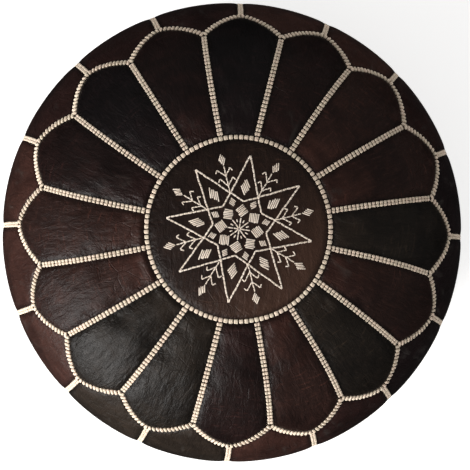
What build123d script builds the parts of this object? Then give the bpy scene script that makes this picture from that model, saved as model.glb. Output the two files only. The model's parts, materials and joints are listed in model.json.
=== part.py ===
"""A round stuffed leather floor pouf: sixteen petals and a stitched medallion on top, sixteen side
panels, and a base of two half rounds that a zip joins. Millimetres, +Z up, origin on the floor under
the middle of the pouf. The zip runs along X, closed when its slider is at the +X end."""

import os
from math import asin, cos, degrees, radians, sin, sqrt

from build123d import *

# Overall form
overall_diameter = 508.0
overall_height = 330.0
crown_rise = 16.0  # how far the crown stands above the top of the shoulder's circle
side_radius = 260.0  # the side's arc below the widest circle
base_corner_radius = 60.0  # the turn from the side to the floor

# Layers
leather = 1.5
lining_cloth = 0.8

# Seams, all of them seen from above
petal_count = 16
medallion_radius = 95.0
peak_setback = 23.5  # from the widest circle in to each petal's tip
scallop_depth = 20.5  # from a petal's tip in to the notch between two petals
scallop_bulge = 3.2  # how far each half of a petal's end bows outwards
base_setback = 64.0  # from the widest circle in to the seam of the base

# Threads over the seams
ring_thread_width = 5.6
ring_thread_height = 2.8
petal_thread_width = 5.8
petal_thread_height = 2.6
scallop_thread_width = 4.4
scallop_thread_height = 2.4
base_thread_width = 1.6
base_thread_height = 0.6
thread_gap = 0.3  # between threads that end beside each other

# Embroidery on the medallion
embroidery_height = 0.9
star_tip_count = 8
star_turn = -8.7  # degrees from +X to the first tip
star_tip_radius = 75.0
star_bend_radius = 27.8
star_line = 1.6
star_lozenge_radius = 43.5
star_lozenge_length = 18.0
star_lozenge_width = 10.0
sprig_line = 1.2
sprig_foot_radius = 40.2
sprig_node_radii = (45.5, 55.7)
sprig_branch = 10.5
sprig_branch_turn = 40.0  # degrees from the stem
sprig_hook = 4.2
sprig_hook_turn = 150.0
sprig_lozenge_radius = 73.2
sprig_lozenge_length = 13.0
sprig_lozenge_width = 7.4
crossing_lozenge_radius = 28.4
crossing_lozenge_length = 9.4
crossing_lozenge_width = 6.8
centre_square_radius = 18.9
centre_square_diagonal = 13.3
ray_line = 1.2
seed_radius = 8.6
seed_length = 3.2
seed_width = 1.5
stitch_gap = 0.6  # between embroidered shapes in one line

# Furrow in the base, where the leather turns up to the zip
furrow_half_width = 6.0
furrow_turn_radius = 8.0
furrow_wall = 1.2  # the straight wall above the turn

# Zip
coil_centre_gap = 0.5  # from the middle to each coil
coil_width = 2.5
coil_thickness = 2.2
tape_width = 12.0
tape_thickness = 0.8
zip_end_margin = 1.0  # from the tape's end to the seam of the base
coil_end_margin = 14.0  # from the coil's end to the tape's end
stop_length = 3.0
stop_overhang = 0.6  # how far the stops stand above and below the coil
zip_stitch_width = 0.7
zip_stitch_height = 0.4
zip_room = 1.0  # between the slider and the stuffing

# Slider and pull
slider_clearance = 0.3
slider_plate = 1.2
slider_flange = 1.1
slider_length = 13.0
slider_corner = 1.6
slider_edge = 0.4
slider_bridge_length = 3.0
slider_end_gap = 0.5  # from the slider to the stops
ear_thickness = 1.2
ear_radius = 1.7
ear_drop = 2.1  # from the slider's lower plate to the pin
pin_radius = 0.6
pin_clearance = 0.05
pull_clearance = 0.3  # beside the pull's barrel and past the ears
pull_length = 24.0
pull_width = 7.6
pull_thickness = 1.4
pull_barrel_radius = 1.4
pull_barrel_width = 3.6
pull_corner = 2.4
pull_hole_radius = 1.5
pull_tip_lift = 0.4  # from the floor to the pull's tip

# What follows from the sizes above
rim_radius = overall_diameter / 2
rim_height = overall_height / 2
shoulder_radius = overall_height - rim_height - crown_rise
shoulder_centre = Vector(rim_radius - shoulder_radius, rim_height)
crown_radius = (shoulder_centre.X**2 + (overall_height - rim_height) ** 2 - shoulder_radius**2) / (2 * crown_rise)
crown_centre = Vector(0, overall_height - crown_radius)
side_centre = Vector(rim_radius - side_radius, rim_height)
corner_rise = rim_height - base_corner_radius
corner_reach = sqrt((side_radius - base_corner_radius) ** 2 - corner_rise**2)
corner_centre = Vector(side_centre.X + corner_reach, base_corner_radius)
peak_radius = rim_radius - peak_setback
valley_radius = peak_radius - scallop_depth
base_radius = rim_radius - base_setback
sector = 360 / petal_count
half_sector = sector / 2
star_sector = 360 / star_tip_count
beyond_all = 2 * max(rim_radius, overall_height)
lining_inset = leather + lining_cloth

tape_bottom = furrow_turn_radius + furrow_wall
coil_outer = coil_centre_gap + coil_width
coil_middle = tape_bottom + tape_thickness / 2
corner_drop = base_corner_radius - tape_bottom
skin_over_tape = corner_centre.X + sqrt((base_corner_radius - leather) ** 2 - corner_drop**2)
zip_half_length = min(base_radius, skin_over_tape) - zip_end_margin
coil_half_length = zip_half_length - coil_end_margin
channel_half_width = coil_outer + slider_clearance
channel_half_height = coil_thickness / 2 + slider_clearance
slider_half_width = channel_half_width + slider_flange
slider_half_height = channel_half_height + slider_plate
slider_x = coil_half_length - slider_end_gap - slider_length / 2
pin_height = coil_middle - slider_half_height - ear_drop
ear_inner = pull_barrel_width / 2 + pull_clearance
ear_outer = ear_inner + ear_thickness
pull_drop = pin_height - pull_thickness / 2 - pull_tip_lift
pull_slope = degrees(asin(pull_drop / pull_length))


# Profile ---------------------------------------------------------------------------------------------
def beyond(start, end, distance):
    """The point at a distance from start, in the direction of end."""
    return start + (end - start).normalized() * distance


def arc_about(centre, start, end):
    """The short arc from start to end round centre."""
    middle = beyond(centre, (start + end) / 2, (start - centre).length)
    return ThreePointArc(start, middle, end)


def half_outline(inset):
    """Right half of the pouf's outline in the XZ plane, moved inwards by inset, outwards if negative."""
    top = Vector(0, overall_height - inset)
    crown_end = beyond(crown_centre, shoulder_centre, crown_radius - inset)
    rim = Vector(rim_radius - inset, rim_height)
    side_end = beyond(side_centre, corner_centre, side_radius - inset)
    corner_end = Vector(corner_centre.X, inset)
    with BuildSketch(Plane.XZ) as outline:
        with BuildLine():
            arc_about(crown_centre, top, crown_end)
            arc_about(shoulder_centre, crown_end, rim)
            arc_about(side_centre, rim, side_end)
            arc_about(corner_centre, side_end, corner_end)
            Polyline(corner_end, (0, inset), top)
        make_face()
    return outline.sketch


def turned(inset):
    """The solid of revolution inside the outline at inset."""
    with BuildPart() as solid:
        add(half_outline(inset))
        revolve(axis=Axis.Z)
    return solid.part


def shell(outer, inner):
    """The layer between two insets."""
    with BuildPart() as layer:
        add(turned(outer))
        add(turned(inner), mode=Mode.SUBTRACT)
    return layer.part


# Plan of the seams -----------------------------------------------------------------------------------
def polar(radius, angle):
    """A point in plan, the angle in degrees from +X."""
    return Vector(radius * cos(radians(angle)), radius * sin(radians(angle)))


def scallop_centre():
    """Centre of the arc from the tip at 0 degrees to the notch at half a sector."""
    tip, notch = polar(peak_radius, 0), polar(valley_radius, half_sector)
    chord = notch - tip
    radius = (chord.length**2 / 4 + scallop_bulge**2) / (2 * scallop_bulge)
    inwards = Vector(-chord.Y, chord.X).normalized()
    return (tip + notch) / 2 + inwards * (radius - scallop_bulge)


def petal_outline():
    """One petal in plan, centred on the X axis."""
    tip = polar(peak_radius, 0)
    notch, other_notch = polar(valley_radius, half_sector), polar(valley_radius, -half_sector)
    foot, other_foot = polar(medallion_radius, half_sector), polar(medallion_radius, -half_sector)
    centre = scallop_centre()
    with BuildSketch() as outline:
        with BuildLine():
            arc_about(centre, tip, notch)
            Line(notch, foot)
            arc_about(Vector(0, 0), foot, other_foot)
            Line(other_foot, other_notch)
            arc_about(Vector(centre.X, -centre.Y), other_notch, tip)
        make_face()
    return outline.sketch


def slice_outline(start, end, inner_radius=0):
    """The plan between two directions, from inner_radius outwards."""
    with BuildSketch() as outline:
        with BuildLine():
            Polyline((0, 0), polar(beyond_all, start), polar(beyond_all, end), (0, 0))
        make_face()
        if inner_radius:
            Circle(inner_radius, mode=Mode.SUBTRACT)
    return outline.sketch


def scallop_bands():
    """Both bands of thread along the end of the petal on the X axis, each cut off at the tip and notch."""
    centre = scallop_centre()
    radius = (polar(peak_radius, 0) - centre).length
    with BuildSketch() as bands:
        with Locations((centre.X, centre.Y)):
            Circle(radius + scallop_thread_width / 2)
            Circle(radius - scallop_thread_width / 2, mode=Mode.SUBTRACT)
        add(slice_outline(0, half_sector, valley_radius - scallop_depth), mode=Mode.INTERSECT)
        mirror(about=Plane.XZ)
    return bands.sketch


def ring_outline(radius, width):
    """A flat ring in plan."""
    with BuildSketch() as ring:
        Circle(radius + width / 2)
        Circle(radius - width / 2, mode=Mode.SUBTRACT)
    return ring.sketch


def bar_outline(inner, outer, width):
    """A bar in plan along the X axis, from one radius to another."""
    with BuildSketch() as bar:
        with Locations(((inner + outer) / 2, 0)):
            Rectangle(outer - inner, width)
    return bar.sketch


def under_plan(layer, sketch, height=beyond_all):
    """What of a layer lies over the sketch, above the widest circle, or below it if height is negative."""
    with BuildPart() as piece:
        add(layer)
        with BuildSketch(Plane.XY.offset(rim_height)):
            add(sketch)
        extrude(amount=height, mode=Mode.INTERSECT)
    return piece.part


def repeated(part, count=petal_count, turn=0.0):
    """Copies of a part at equal steps round the Z axis, as separate solids of one piece."""
    with BuildPart() as copies:
        with PolarLocations(0, count, start_angle=turn):
            add(part)
    return copies


# Leather ---------------------------------------------------------------------------------------------
def furrow(grow):
    """What the furrow along the X axis takes from the base, its walls moved into the pouf by grow."""
    turn_centre = Vector(furrow_half_width + furrow_turn_radius, furrow_turn_radius)
    wall = furrow_half_width + grow
    lip = Vector(turn_centre.X, grow)
    with BuildPart() as channel:
        with BuildSketch(Plane.YZ.offset(-beyond_all / 2)):
            with BuildLine():
                arc_about(turn_centre, lip, Vector(wall, turn_centre.Y))
                Polyline((wall, turn_centre.Y), (wall, tape_bottom), (0, tape_bottom), (0, -beyond_all))
                Polyline((0, -beyond_all), (lip.X, -beyond_all), lip)
            make_face()
            mirror(about=Plane.YZ)
        extrude(amount=beyond_all)
    return channel.part


def body_with_furrow(inset):
    """The pouf's body inside inset, with the furrow cut through its base."""
    with BuildPart() as body:
        add(turned(inset))
        add(furrow(inset), mode=Mode.SUBTRACT)
    return body.part


cover = shell(0, leather)

with BuildPart() as medallion:
    add(cover)
    with BuildSketch(Plane.XY.offset(rim_height)):
        Circle(medallion_radius)
    extrude(amount=beyond_all, mode=Mode.INTERSECT)

with BuildPart() as petal:
    add(under_plan(cover, petal_outline()))

with BuildPart() as side_panel:
    add(cover)
    with BuildSketch(Plane.XY.offset(-beyond_all)):
        add(slice_outline(0, sector))
    extrude(amount=2 * beyond_all, mode=Mode.INTERSECT)
    with BuildSketch(Plane.XY.offset(rim_height)):
        Circle(medallion_radius)
        add(petal_outline())
        add(petal_outline(), rotation=sector)
    extrude(amount=beyond_all, mode=Mode.SUBTRACT)
    with BuildSketch(Plane.XY.offset(rim_height)):
        Circle(base_radius)
    extrude(amount=-beyond_all, mode=Mode.SUBTRACT)

with BuildPart() as base_round:
    add(body_with_furrow(0))
    add(body_with_furrow(leather), mode=Mode.SUBTRACT)
    with BuildSketch(Plane.XY.offset(rim_height)):
        Circle(base_radius)
    extrude(amount=-beyond_all, mode=Mode.INTERSECT)

with BuildPart() as base_half_front:
    add(base_round.part)
    split(bisect_by=Plane.XZ, keep=Keep.TOP)

with BuildPart() as base_half_back:
    add(base_round.part)
    split(bisect_by=Plane.XZ, keep=Keep.BOTTOM)


# Filling ---------------------------------------------------------------------------------------------
zip_space_height = coil_middle + slider_half_height + zip_room - tape_bottom

with BuildPart() as zip_space:
    with Locations((0, 0, tape_bottom)):
        Box(
            2 * (zip_half_length + zip_room),
            2 * (coil_outer + tape_width + zip_room),
            zip_space_height,
            align=(Align.CENTER, Align.CENTER, Align.MIN),
        )

with BuildPart() as lining:
    add(body_with_furrow(leather))
    add(body_with_furrow(lining_inset), mode=Mode.SUBTRACT)
    add(zip_space.part, mode=Mode.SUBTRACT)

with BuildPart() as stuffing:
    add(body_with_furrow(lining_inset))
    add(zip_space.part, mode=Mode.SUBTRACT)


# Threads over the seams ------------------------------------------------------------------------------
def raised(height):
    """The layer that stands on the leather, up to height."""
    return shell(-height, 0)


petal_thread_start = medallion_radius + ring_thread_width / 2 + thread_gap
petal_thread_end = valley_radius - scallop_thread_width - thread_gap
side_thread_start = peak_radius + scallop_thread_width + thread_gap
side_thread_end = base_radius + base_thread_width / 2 + thread_gap

with BuildPart() as ring_seam_thread:
    add(under_plan(raised(ring_thread_height), ring_outline(medallion_radius, ring_thread_width)))

with BuildPart() as petal_thread:
    petal_bar = bar_outline(petal_thread_start, petal_thread_end, petal_thread_width)
    add(under_plan(raised(petal_thread_height), petal_bar))

with BuildPart() as scallop_thread:
    add(under_plan(raised(scallop_thread_height), scallop_bands()))

with BuildPart() as side_thread:
    add(under_plan(raised(petal_thread_height), bar_outline(side_thread_start, beyond_all, petal_thread_width)))
    side_bar = bar_outline(side_thread_end, beyond_all, petal_thread_width)
    add(under_plan(raised(petal_thread_height), side_bar, -beyond_all))

with BuildPart() as base_seam_thread:
    base_ring = ring_outline(base_radius, base_thread_width)
    add(under_plan(raised(base_thread_height), base_ring, -beyond_all))
    Box(beyond_all, 2 * (furrow_half_width + furrow_turn_radius), beyond_all, mode=Mode.SUBTRACT)

petal_seam_threads = repeated(petal_thread.part, turn=half_sector)
scallop_seam_thread = repeated(scallop_thread.part)
side_seam_threads = repeated(side_thread.part)


# Embroidery ------------------------------------------------------------------------------------------
def lozenge(radius, length, width):
    """A lozenge in plan on the X axis, its length along the radius."""
    with BuildSketch() as shape:
        with BuildLine():
            right, left = (radius + length / 2, 0), (radius - length / 2, 0)
            Polyline(right, (radius, width / 2), left, (radius, -width / 2), right)
        make_face()
    return shape.sketch


def embroidered(sketch, turn, count=star_tip_count):
    """A shape in plan, raised on the medallion and repeated round it from the direction turn."""
    stitched = under_plan(raised(embroidery_height), sketch)
    return repeated(stitched, count, turn)


def star_sketch():
    """The outline of two four-pointed stars that interlace, as one band of thread."""
    with BuildSketch() as star:
        for tip in range(star_tip_count):
            angle = tip * star_sector
            with BuildLine():
                Polyline(
                    polar(star_bend_radius, angle - star_sector),
                    polar(star_tip_radius, angle),
                    polar(star_bend_radius, angle + star_sector),
                )
            trace(line_width=star_line)
    return star.sketch


def sprig_sketch():
    """A stem on the X axis with its pairs of hooked branches."""
    stem_end = sprig_lozenge_radius - sprig_lozenge_length / 2 - stitch_gap
    with BuildSketch() as sprig:
        with BuildLine():
            Line((sprig_foot_radius, 0), (stem_end, 0))
        trace(line_width=sprig_line)
        for node_radius in sprig_node_radii:
            node = Vector(node_radius, 0)
            branch_end = node + polar(sprig_branch, sprig_branch_turn)
            with BuildLine():
                Polyline(node, branch_end, branch_end + polar(sprig_hook, sprig_hook_turn))
            trace(line_width=sprig_line)
        mirror(about=Plane.XZ)
    return sprig.sketch


def rays_sketch():
    """Thin rays from the middle to the corners of the centre squares."""
    ray_end = centre_square_radius - centre_square_diagonal / 2 - stitch_gap
    with BuildSketch() as rays:
        with PolarLocations(0, star_tip_count):
            add(bar_outline(0, ray_end, ray_line))
    return rays.sketch


star_turn_between = star_turn + star_sector / 2
star_outline = embroidered(star_sketch(), star_turn, 1)
centre_rays = embroidered(rays_sketch(), star_turn, 1)
star_lozenges = embroidered(lozenge(star_lozenge_radius, star_lozenge_length, star_lozenge_width), star_turn)
centre_squares = embroidered(
    lozenge(centre_square_radius, centre_square_diagonal, centre_square_diagonal), star_turn
)
sprig_stems = embroidered(sprig_sketch(), star_turn_between)
sprig_lozenges = embroidered(
    lozenge(sprig_lozenge_radius, sprig_lozenge_length, sprig_lozenge_width), star_turn_between
)
crossing_lozenges = embroidered(
    lozenge(crossing_lozenge_radius, crossing_lozenge_length, crossing_lozenge_width), star_turn_between
)
centre_seeds = embroidered(lozenge(seed_radius, seed_length, seed_width), star_turn_between)

# Zip -------------------------------------------------------------------------------------------------
with BuildPart() as zip_tape_back:
    with Locations((0, coil_outer, tape_bottom)):
        Box(2 * zip_half_length, tape_width, tape_thickness, align=(Align.CENTER, Align.MIN, Align.MIN))

with BuildPart() as zip_coil_back:
    with Locations((0, coil_centre_gap, coil_middle)):
        Box(2 * coil_half_length, coil_width, coil_thickness, align=(Align.CENTER, Align.MIN, Align.CENTER))

with BuildPart() as zip_tape_front:
    add(zip_tape_back.part)
    mirror(about=Plane.XZ, mode=Mode.REPLACE)

with BuildPart() as zip_coil_front:
    add(zip_coil_back.part)
    mirror(about=Plane.XZ, mode=Mode.REPLACE)

with BuildPart() as zip_top_stops:
    with Locations((coil_half_length, coil_centre_gap, coil_middle)):
        Box(
            stop_length,
            coil_width,
            coil_thickness + 2 * stop_overhang,
            align=(Align.MIN, Align.MIN, Align.CENTER),
        )
    mirror(about=Plane.XZ)

with BuildPart() as zip_bottom_stop:
    with Locations((-coil_half_length, 0, coil_middle)):
        Box(
            stop_length,
            2 * coil_outer,
            coil_thickness + 2 * stop_overhang,
            align=(Align.MAX, Align.CENTER, Align.CENTER),
        )

with BuildPart() as zip_seam_threads:
    with Locations((0, furrow_half_width, furrow_turn_radius + furrow_wall / 2)):
        Box(
            2 * coil_half_length,
            zip_stitch_height,
            zip_stitch_width,
            align=(Align.CENTER, Align.MAX, Align.CENTER),
        )
    mirror(about=Plane.XZ)

with BuildPart() as zip_slider:
    with BuildSketch(Plane.XY.offset(coil_middle - slider_half_height)):
        with Locations((slider_x, 0)):
            RectangleRounded(slider_length, 2 * slider_half_width, slider_corner)
    extrude(amount=2 * slider_half_height)
    fillet(zip_slider.faces().sort_by(Axis.Z)[-1].edges(), slider_edge)
    fillet(zip_slider.faces().sort_by(Axis.Z)[0].edges(), slider_edge)
    with Locations((slider_x, 0, coil_middle)):
        Box(slider_length, 2 * channel_half_width, 2 * channel_half_height, mode=Mode.SUBTRACT)
        Box(
            slider_length,
            2 * slider_half_width,
            tape_thickness + 2 * slider_clearance,
            mode=Mode.SUBTRACT,
        )
    with Locations((slider_x + slider_length / 2 - slider_corner, 0, coil_middle)):
        Box(
            slider_bridge_length,
            2 * (coil_centre_gap - slider_clearance),
            2 * channel_half_height,
            align=(Align.MAX, Align.CENTER, Align.CENTER),
        )
    with BuildSketch(Plane.XZ.offset(ear_inner)):
        with Locations((slider_x, pin_height)):
            Circle(ear_radius)
            Rectangle(2 * ear_radius, ear_drop, align=(Align.CENTER, Align.MIN))
            Circle(pin_radius, mode=Mode.SUBTRACT)
    extrude(amount=ear_thickness)
    mirror(about=Plane.XZ)

with BuildPart() as zip_pull_pin:
    with BuildSketch(Plane.XZ.offset(-ear_outer)):
        with Locations((slider_x, pin_height)):
            Circle(pin_radius)
    extrude(amount=2 * ear_outer)

pull_direction = (-cos(radians(pull_slope)), 0, -sin(radians(pull_slope)))
pull_normal = (-sin(radians(pull_slope)), 0, cos(radians(pull_slope)))
pull_plane = Plane(origin=(slider_x, 0, pin_height), x_dir=pull_direction, z_dir=pull_normal)
blade_start = ear_radius + pull_clearance

with BuildPart() as zip_pull:
    with BuildSketch(pull_plane.offset(-pull_thickness / 2)):
        with Locations((blade_start, 0)):
            Rectangle(2 * blade_start, pull_barrel_width)
        with Locations(((blade_start + pull_length) / 2, 0)):
            RectangleRounded(pull_length - blade_start, pull_width, pull_corner)
        with Locations((pull_length - pull_width / 2, 0)):
            Circle(pull_hole_radius, mode=Mode.SUBTRACT)
    extrude(amount=pull_thickness)
    with BuildSketch(Plane.XZ.offset(-pull_barrel_width / 2)):
        with Locations((slider_x, pin_height)):
            Circle(pull_barrel_radius)
    extrude(amount=pull_barrel_width)
    with BuildSketch(Plane.XZ.offset(-pull_barrel_width / 2)):
        with Locations((slider_x, pin_height)):
            Circle(pin_radius + pin_clearance)
    extrude(amount=pull_barrel_width, mode=Mode.SUBTRACT)


# Every piece, by the name it is known by -------------------------------------------------------------
pieces = {
    "medallion": medallion,
    "base_half_front": base_half_front,
    "base_half_back": base_half_back,
    "lining": lining,
    "stuffing": stuffing,
    "ring_seam_thread": ring_seam_thread,
    "petal_seam_threads": petal_seam_threads,
    "scallop_seam_thread": scallop_seam_thread,
    "side_seam_threads": side_seam_threads,
    "base_seam_thread": base_seam_thread,
    "star_outline": star_outline,
    "star_lozenges": star_lozenges,
    "sprig_stems": sprig_stems,
    "sprig_lozenges": sprig_lozenges,
    "crossing_lozenges": crossing_lozenges,
    "centre_squares": centre_squares,
    "centre_rays": centre_rays,
    "centre_seeds": centre_seeds,
    "zip_tape_front": zip_tape_front,
    "zip_tape_back": zip_tape_back,
    "zip_coil_front": zip_coil_front,
    "zip_coil_back": zip_coil_back,
    "zip_top_stops": zip_top_stops,
    "zip_bottom_stop": zip_bottom_stop,
    "zip_seam_threads": zip_seam_threads,
    "zip_slider": zip_slider,
    "zip_pull_pin": zip_pull_pin,
    "zip_pull": zip_pull,
}
for number in range(petal_count):
    for kind, panel in {"petal": petal, "side_panel": side_panel}.items():
        with BuildPart() as turned_panel:
            add(panel.part, rotation=(0, 0, number * sector))
        pieces[f"{kind}_{number + 1:02d}"] = turned_panel

os.makedirs("parts", exist_ok=True)
for name, piece in pieces.items():
    piece.part.label = name
    export_step(piece.part, f"parts/{name}.step")
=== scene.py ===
"""A round leather floor pouf: sixteen petals and an embroidered medallion on top, sixteen side panels,
a zipped base, and thick cream thread over every seam. Metres, +Z up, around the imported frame."""

import json
import math
import random

import bmesh
import bpy
from mathutils import Matrix, Vector, kdtree, noise
from mathutils.bvhtree import BVHTree


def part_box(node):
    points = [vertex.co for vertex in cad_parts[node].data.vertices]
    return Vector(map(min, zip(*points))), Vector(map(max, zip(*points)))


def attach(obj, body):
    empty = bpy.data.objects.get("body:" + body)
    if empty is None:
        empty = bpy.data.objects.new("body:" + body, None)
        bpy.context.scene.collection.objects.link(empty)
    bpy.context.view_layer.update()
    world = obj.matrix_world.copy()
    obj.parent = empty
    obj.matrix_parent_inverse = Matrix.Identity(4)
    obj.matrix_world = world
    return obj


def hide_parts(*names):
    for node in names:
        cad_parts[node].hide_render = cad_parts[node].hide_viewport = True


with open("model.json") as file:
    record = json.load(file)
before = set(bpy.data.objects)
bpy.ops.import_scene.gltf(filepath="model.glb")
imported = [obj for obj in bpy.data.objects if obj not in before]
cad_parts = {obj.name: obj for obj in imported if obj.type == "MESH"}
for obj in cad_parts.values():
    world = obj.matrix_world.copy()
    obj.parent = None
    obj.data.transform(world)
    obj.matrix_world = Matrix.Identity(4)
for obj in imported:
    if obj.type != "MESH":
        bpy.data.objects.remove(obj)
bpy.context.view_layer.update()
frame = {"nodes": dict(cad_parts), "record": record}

MM = 0.001
PANELS = 16
SECTOR = math.tau / PANELS

# The pouf's outline, from the frame and from the arcs that it is drawn with
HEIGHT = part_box("medallion")[1].z
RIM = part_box("side_panel_01")[1].x
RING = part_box("medallion")[1].x
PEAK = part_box("petal_01")[1].x
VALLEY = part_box("petal_01")[1].y / math.sin(SECTOR / 2)
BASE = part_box("base_half_back")[1].y
CROWN_RISE = 16 * MM
SIDE_ARC = 260 * MM
CORNER_ARC = 60 * MM
LEATHER = 1.5 * MM

# How the cover is sewn
SEAM_SINK = 2.6 * MM  # how far the seams are drawn into the filling
SEAM_ROLL = 4.5 * MM  # how far from the seam the leather turns down to it
SCALLOP_POWER = 1.5  # how round a petal's end is
HAND_DRIFT = math.radians(-1.6)  # the scallops sit a little round from the ring's seams
RING_BEADS = 112
PETAL_PITCH = 4.55 * MM
SCALLOP_PITCH = 4.5 * MM
BASE_PITCH = 6.0 * MM
ZIP_PITCH = 4.2 * MM
COIL_PITCH = 1.6 * MM

# Furrow in the base
FURROW_HALF = 6 * MM
FURROW_TURN = 8 * MM
FURROW_TOP = 14 * MM  # what is inside stays above this over the zip
TAPE_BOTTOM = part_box("zip_tape_back")[0].z


def lerp(a, b, t):
    return a + (b - a) * t


def smooth(low, high, value):
    """0 below low, 1 above high, and an even rise between."""
    t = min(max((value - low) / (high - low), 0), 1)
    return t * t * (3 - 2 * t)


def wander(seed, place, scale=1.0):
    """A slow, repeatable wobble between about -1 and 1. Each seed is its own wobble."""
    return noise.noise(Vector((place * scale, seed * 17.3, 4.1))) * 1.6


# Outline ---------------------------------------------------------------------------------------------
class Outline:
    """The meridian from the top's middle to the base's flat, as arcs. A place on it is a length, and
    slope is the outward normal's angle from straight up."""

    def __init__(self):
        half = HEIGHT / 2
        shoulder = HEIGHT - half - CROWN_RISE
        shoulder_x = RIM - shoulder
        crown = (shoulder_x**2 + half**2 - shoulder**2) / (2 * CROWN_RISE)
        side_x = RIM - SIDE_ARC
        rise = half - CORNER_ARC
        corner_x = side_x + math.sqrt((SIDE_ARC - CORNER_ARC) ** 2 - rise**2)
        crown_end = math.asin(shoulder_x / (crown - shoulder))
        side_end = math.pi / 2 + math.asin(rise / (SIDE_ARC - CORNER_ARC))
        self.arcs = [
            (0, HEIGHT - crown, crown, 0, crown_end),
            (shoulder_x, half, shoulder, crown_end, math.pi / 2),
            (side_x, half, SIDE_ARC, math.pi / 2, side_end),
            (corner_x, CORNER_ARC, CORNER_ARC, side_end, math.pi),
        ]
        self.flat_radius = corner_x

    def at(self, length):
        """(radius, height, slope) at a length from the top's middle."""
        for x, z, radius, start, end in self.arcs:
            span = radius * (end - start)
            if length <= span or end == math.pi:
                slope = min(start + length / radius, end)
                return x + radius * math.sin(slope), z + radius * math.cos(slope), slope
            length -= span

    def to(self, radius, under=False):
        """The length at which the outline has that radius, on the top or on the base's corner."""
        before = 0
        for index, (x, z, arc, start, end) in enumerate(self.arcs):
            sine = (radius - x) / arc
            if -1 <= sine <= 1:
                slope = math.asin(sine)
                if under and index == 3:
                    return before + arc * (math.pi - slope - start)
                if not under and index < 2 and start - 1e-9 <= slope <= end + 1e-9:
                    return before + arc * (slope - start)
            before += arc * (end - start)


outline = Outline()
RING_AT = outline.to(RING)
BASE_AT = outline.to(BASE, under=True)


def skin(length, angle, lift=0.0):
    """The point on the pouf's outer surface, moved out by lift."""
    radius, height, slope = outline.at(length)
    across = radius + lift * math.sin(slope)
    return Vector((across * math.cos(angle), across * math.sin(angle), height + lift * math.cos(slope)))


def skin_normal(length, angle):
    slope = outline.at(length)[2]
    return Vector((math.sin(slope) * math.cos(angle), math.sin(slope) * math.sin(angle), math.cos(slope)))


# Seams -----------------------------------------------------------------------------------------------
def tip_angle(petal):
    """Where the side seam starts, at the tip of a petal."""
    return petal * SECTOR + HAND_DRIFT + math.radians(0.5) * wander(1, petal % PANELS, 1.7)


def notch_angle(seam):
    """Where the seam between two petals ends, in the notch."""
    return (seam + 0.5) * SECTOR + HAND_DRIFT + math.radians(0.5) * wander(2, seam % PANELS, 2.3)


def petal_seam_angle(seam, along):
    """The seam between petals seam and seam + 1, from the ring at 0 to the notch at 1."""
    foot = (seam + 0.5) * SECTOR + math.radians(0.6) * wander(3, seam % PANELS, 1.9)
    bow = math.radians(0.5) * wander(4, seam % PANELS, 3.1) * math.sin(math.pi * along)
    return lerp(foot, notch_angle(seam), along) + bow


def scallop(petal, share):
    """(length, angle) on the end of a petal, from one notch at -1 over its tip at 0 to the other at 1."""
    notch = notch_angle(petal if share >= 0 else petal - 1)
    reach = PEAK + 1.2 * MM * wander(5, petal % PANELS, 2.9)
    radius = reach - (reach - VALLEY) * abs(share) ** SCALLOP_POWER
    return outline.to(radius), lerp(tip_angle(petal), notch, abs(share))


def side_seam_angle(seam, along):
    """The seam that runs down from the tip of a petal at 0 to the base at 1."""
    bow = math.radians(0.35) * wander(6, seam % PANELS, 2.1) * math.sin(math.pi * along)
    return lerp(tip_angle(seam), seam * SECTOR + HAND_DRIFT, along) + bow


def petal_place(petal, across, along):
    """(length, angle) inside a petal, both shares from 0 to 1."""
    left, right = petal_seam_angle(petal - 1, along), petal_seam_angle(petal, along)
    end, end_angle = scallop(petal, 2 * across - 1)
    drift = end_angle - lerp(notch_angle(petal - 1), notch_angle(petal), across)
    return lerp(RING_AT, end, along), lerp(left, right, across) + drift * along


def side_place(panel, across, along):
    """(length, angle) inside the side panel between the tips of two petals."""
    if across <= 0.5:
        start, start_angle = scallop(panel, 2 * across)
    else:
        start, start_angle = scallop(panel + 1, 2 * across - 2)
    left, right = side_seam_angle(panel, along), side_seam_angle(panel + 1, along)
    drift = start_angle - lerp(tip_angle(panel), tip_angle(panel + 1), across)
    return lerp(start, BASE_AT, along), lerp(left, right, across) + drift * (1 - along)


# Panels of the cover ---------------------------------------------------------------------------------
def crowd(share):
    """Gathers the rows of a grid towards both of its ends."""
    return lerp(share, 0.5 - 0.5 * math.cos(math.pi * share), 0.5)


def seam_drop(gap, share=1.0):
    """How deep the leather lies at a distance from its seam."""
    return -SEAM_SINK * share * math.exp(-((gap / SEAM_ROLL) ** 2))


def gather(length, angle):
    """Low folds where the leather is gathered into the ring's seam."""
    beyond = length - RING_AT
    if not 0 < beyond < 30 * MM:
        return 0.0
    fold = max(wander(11, angle, 1.9), 0) * math.exp(-(((beyond - 8 * MM) / (2.6 * MM)) ** 2))
    second = max(wander(12, angle, 2.7), 0) * math.exp(-(((beyond - 15 * MM) / (3.2 * MM)) ** 2))
    return 2.7 * MM * fold + 1.8 * MM * second


def hide_layers(bm):
    """Where a point lies on the hide, how far it is from a seam, and how much painted light or shade it gets.
    """
    layers = bm.verts.layers
    return layers.float_vector.new("hide"), layers.float.new("seam"), layers.float.new("tone")


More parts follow.
